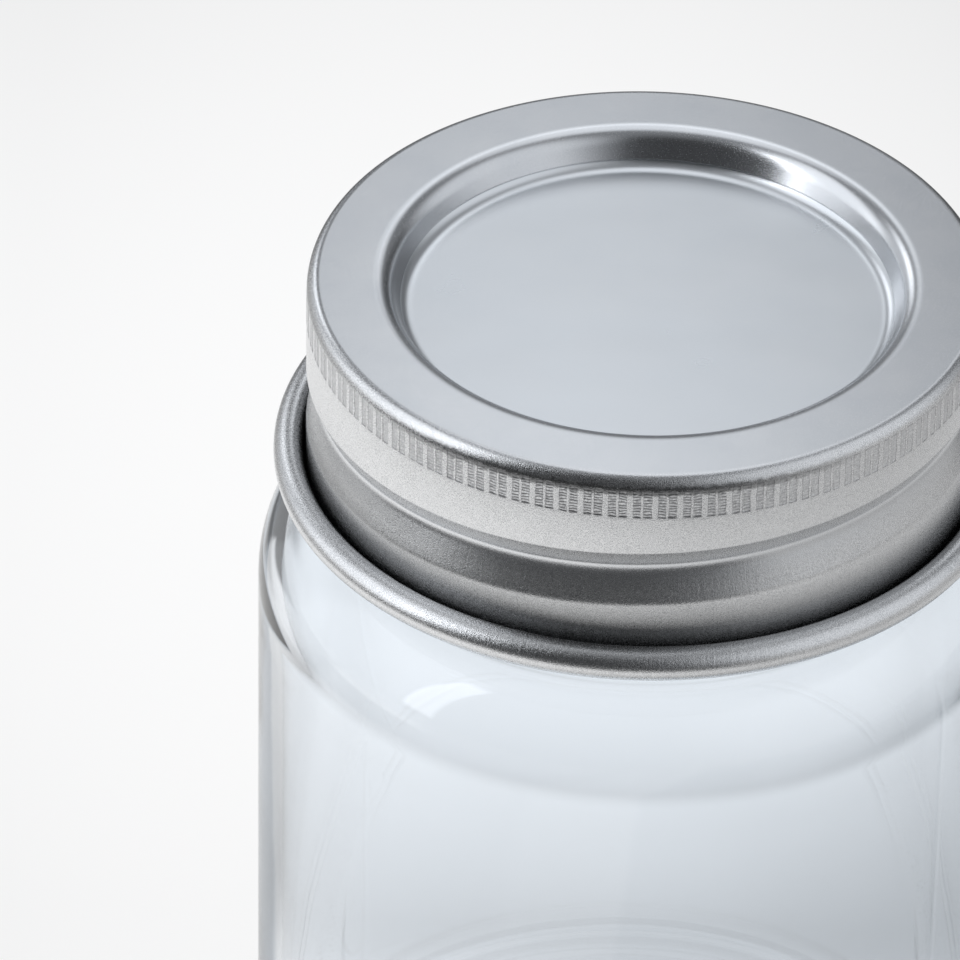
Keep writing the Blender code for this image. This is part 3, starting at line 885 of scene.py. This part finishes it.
def stage_mesh(name, corners, material):
    mesh = bpy.data.meshes.new(name)
    mesh.from_pydata(corners, [], [(0, 1, 2, 3)])
    mesh.materials.append(material)
    piece = bpy.data.objects.new(name, mesh)
    bpy.context.scene.collection.objects.link(piece)


def empty_material(name):
    """A material without nodes, the place that it is seen at and the ray's light path."""
    material = bpy.data.materials.new(name)
    material.use_nodes = True
    tree = material.node_tree
    tree.nodes.clear()
    place = add_node(tree, "ShaderNodeNewGeometry").outputs["Position"]
    x, y, z = add_node(tree, "ShaderNodeSeparateXYZ", {"Vector": place}).outputs
    return material, tree, (x, y, z), add_node(tree, "ShaderNodeLightPath").outputs


def set_surface(tree, shader):
    output = add_node(tree, "ShaderNodeOutputMaterial")
    tree.links.new(shader.outputs[0], output.inputs["Surface"])


def bell(tree, x, y, centre, spread):
    """A smooth hill of height 1 at a centre on the floor."""
    squares = []
    for value, middle in zip((x, y), centre):
        away = less(tree, value, middle)
        squares.append(product(tree, away, away))
    return maths(tree, "EXPONENT", product(tree, total(tree, *squares), -1 / spread ** 2))


def away_from(tree, x, y, azimuth):
    """Degrees between the direction (x, y) seen from the axis and an azimuth."""
    cosine, sine = math.cos(math.radians(azimuth)), math.sin(math.radians(azimuth))
    along = total(tree, product(tree, x, cosine), product(tree, y, sine))
    across = less(tree, product(tree, y, cosine), product(tree, x, sine))
    turned = maths(tree, "ABSOLUTE", maths(tree, "ARCTAN2", across, along))
    return product(tree, turned, math.degrees(1.0))


def shade(tree, through, places, share, *ramps):
    """How much a shade darkens: its share where all its ramps are at 1, for rays through glass."""
    steps = [step_up(tree, places[name], low, high) for name, low, high in ramps]
    return product(tree, through, *steps, share)


def seen_floor(tree, x, y, through, wall):
    """The floor's brightness for the eye and through the glass."""
    pale = FLOOR_BRIGHTEST
    across = clamped(tree, x, *FLOOR_ACROSS)
    back = maths(tree, "MAXIMUM", y, FLOOR_NEAREST)
    for value, (middle, reach, drop) in zip((across, back), FLOOR_FALLS):
        away = maths(tree, "DIVIDE", less(tree, value, middle), reach)
        pale = less(tree, pale, product(tree, away, away, drop))
    pale = maths(tree, "MAXIMUM", pale, FLOOR_DARKEST)

    nearer = remap(tree, y, *FRONT_NEARER, 0.0, 1.0)
    least, more = FRONT_SHARES
    deep = total(tree, product(tree, nearer, more), least)
    front = product(tree, through, step_up(tree, y, *FRONT_FROM), nearer, deep)
    tilt = product(tree, through, remap(tree, x, *TILT_PLACES, *TILT_SHARES))
    diagonal = total(tree, product(tree, x, DIAGONAL_SLOPE), y)
    places = {"x": x, "y": y, "diagonal": diagonal}
    shades = [shade(tree, through, places, *row) for row in THROUGH_SHADES]
    leaf = maths(tree, "MAXIMUM", *(shade(tree, through, places, *row) for row in LEAF_SHADES))
    edge = product(tree, wall, WALL_SHARE)
    for dark in (front, *shades, tilt, leaf, edge):
        pale = darkened(tree, pale, dark)
    return pale


def reflected_floor(tree, x, y):
    """The floor's brightness in reflections: bright near the jar, with glows further out."""
    slopes = [product(tree, value, slope) for value, slope in zip((x, y), NEAR_SLOPES)]
    near = total(tree, *slopes, NEAR_LEVEL)
    # Spots of painted shadow darken the floor near the jar
    for centre, spread, share in SHADOW_SPOTS:
        near = darkened(tree, near, product(tree, bell(tree, x, y, centre, spread), share))
    distance = length(tree, x, y)
    light = total(tree, product(tree, near, step_up(tree, distance, *NEAR_UNTIL)), FAR_LEVEL)
    for azimuth, outer, inner, low, high, strength in FLOOR_GLOWS:
        across = step_up(tree, away_from(tree, x, y, azimuth), outer, inner)
        glow = product(tree, step_up(tree, distance, low, high), across, strength)
        light = total(tree, light, glow)
    return light


def floor_material():
    """Pale floor: a soft backdrop for the eye and through glass, and its own glow in metal."""
    material, tree, (x, y, _), path = empty_material("floor")
    through = path["Is Transmission Ray"]
    seen = maths(tree, "MAXIMUM", path["Is Camera Ray"], through)
    glossy = maths(tree, "MAXIMUM", less(tree, path["Is Glossy Ray"], seen), 0.0)
    solid = remap(tree, path["Transmission Depth"], *WALL_CROSSINGS, 1.0, 0.0)
    slope = total(tree, product(tree, y, WALL_SLOPE), x)
    wall = product(tree, through, solid, step_up(tree, slope, *WALL_FROM))
    strength = total(tree, product(tree, seen, seen_floor(tree, x, y, through, wall)),
                     product(tree, glossy, reflected_floor(tree, x, y)))
    tone = mix_colours(tree, wall, (1.0, 1.0, 1.0), WALL_TONE)
    diffuse = add_node(tree, "ShaderNodeBsdfDiffuse", {"Color": FLOOR_COLOUR})
    glow = add_node(tree, "ShaderNodeEmission", {"Color": tone, "Strength": strength})
    share = product(tree, maths(tree, "MAXIMUM", seen, glossy), FLOOR_GLOW_SHARE)
    mix = add_node(tree, "ShaderNodeMixShader", {"Fac": share})
    tree.links.new(diffuse.outputs[0], mix.inputs[1])
    tree.links.new(glow.outputs[0], mix.inputs[2])
    set_surface(tree, mix)
    return material


def card_material():
    """A soft card behind the jar that only reflections see: it adds a glow that fades out."""
    material, tree, (x, _, z), path = empty_material("back_card")
    rise = product(tree, less(tree, z, CARD_HEIGHT), CARD_SLOPE)
    light = clamped(tree, total(tree, rise, CARD_LIGHT), *CARD_LIMITS)
    away = maths(tree, "DIVIDE", total(tree, x, -CARD_MIDDLE), CARD_SPREAD)
    bulge = maths(tree, "EXPONENT", product(tree, away, away, -1.0))
    fades = [step_up(tree, z, *fade) for fade in CARD_FADES]
    glossy = less(tree, path["Is Glossy Ray"], path["Is Transmission Ray"])
    light = product(tree, light, bulge, *fades, maths(tree, "MAXIMUM", glossy, 0.0))
    glow = add_node(tree, "ShaderNodeEmission", {"Color": CARD_COLOUR, "Strength": light})
    clear = add_node(tree, "ShaderNodeBsdfTransparent")
    both = add_node(tree, "ShaderNodeAddShader")
    tree.links.new(clear.outputs[0], both.inputs[0])
    tree.links.new(glow.outputs[0], both.inputs[1])
    set_surface(tree, both)
    return material


def lobe(tree, direction, azimuth, elevation, inner, outer):
    """1 within inner degrees of a direction, falling to 0 at outer degrees."""
    a, e = math.radians(azimuth), math.radians(elevation)
    centre = (math.cos(e) * math.cos(a), math.cos(e) * math.sin(a), math.sin(e))
    dot = add_node(tree, "ShaderNodeVectorMath", {0: direction, 1: centre},
                   operation="DOT_PRODUCT")
    low, high = math.cos(math.radians(outer)), math.cos(math.radians(inner))
    return remap(tree, dot.outputs["Value"], low, high, 0.0, 1.0, "SMOOTHSTEP")


def make_world():
    """Soft studio light from all round, with lamps, softboxes and two dark sides."""
    world = bpy.data.worlds.new("studio")
    bpy.context.scene.world = world
    world.use_nodes = True
    tree = world.node_tree
    tree.nodes.clear()
    direction = add_node(tree, "ShaderNodeTexCoord").outputs["Generated"]
    x, y, z = add_node(tree, "ShaderNodeSeparateXYZ", {"Vector": direction}).outputs
    rise = product(tree, maths(tree, "ARCSINE", z), math.degrees(1.0))
    light = WORLD_LEVEL
    for azimuth, elevation, inner, outer, strength in LAMPS:
        spot = lobe(tree, direction, azimuth, elevation, inner, outer)
        light = total(tree, product(tree, spot, strength), light)
    for azimuth, inner, outer, low, full, upper, top, strength in SOFTBOXES:
        across = step_up(tree, away_from(tree, x, y, azimuth), outer, inner)
        upright = product(tree, step_up(tree, rise, low, full), step_up(tree, rise, top, upper))
        light = total(tree, product(tree, across, upright, strength), light)
    for azimuth, outer, inner, top, upper, share in DARK_SIDES:
        across = step_up(tree, away_from(tree, x, y, azimuth), outer, inner)
        dark = product(tree, across, step_up(tree, rise, top, upper), share)
        light = darkened(tree, light, dark)
    path = add_node(tree, "ShaderNodeLightPath").outputs
    seen = maths(tree, "MAXIMUM", path["Is Camera Ray"], path["Is Transmission Ray"])
    mix = add_node(tree, "ShaderNodeMixShader", {"Fac": seen})
    for place, colour, strength in ((1, WORLD_COLOUR, light), (2, PLAIN_COLOUR, PLAIN_LEVEL)):
        inputs = {"Color": colour, "Strength": strength}
        background = add_node(tree, "ShaderNodeBackground", inputs)
        tree.links.new(background.outputs[0], mix.inputs[place])
    output = add_node(tree, "ShaderNodeOutputWorld")
    tree.links.new(mix.outputs[0], output.inputs["Surface"])


def make_camera():
    """The photograph's camera, placed so that the jar's axis meets its pixel at the top."""
    sine, cosine = math.sin(CAMERA_ELEVATION), math.cos(CAMERA_ELEVATION)
    right, up, back = Vector((1, 0, 0)), Vector((0, sine, cosine)), Vector((0, -cosine, sine))
    rolled_right = right * math.cos(CAMERA_ROLL) + up * math.sin(CAMERA_ROLL)
    rolled_up = up * math.cos(CAMERA_ROLL) - right * math.sin(CAMERA_ROLL)
    across = (AXIS_PIXEL[0] - FRAME_CENTRE) / FOCAL_PIXELS * CAMERA_DISTANCE
    above = (FRAME_CENTRE - AXIS_PIXEL[1]) / FOCAL_PIXELS * CAMERA_DISTANCE
    top = Vector((0, 0, JAR_HEIGHT))
    place = top + back * CAMERA_DISTANCE - rolled_right * across - rolled_up * above
    camera = bpy.data.objects.new("camera", bpy.data.cameras.new("camera"))
    bpy.context.scene.collection.objects.link(camera)
    columns = Matrix((rolled_right, rolled_up, back)).transposed().to_4x4()
    camera.matrix_world = Matrix.Translation(place) @ columns
    camera.data.sensor_width = SENSOR_WIDTH
    camera.data.lens = FOCAL_PIXELS / (2 * FRAME_CENTRE) * SENSOR_WIDTH
    camera.data.clip_start, camera.data.clip_end = CLIP_RANGE
    bpy.context.scene.camera = camera


stage_mesh("floor", FLOOR_CORNERS, floor_material())
stage_mesh("back_card", CARD_CORNERS, card_material())
make_world()
make_camera()
bpy.context.scene.view_settings.view_transform = "Standard"
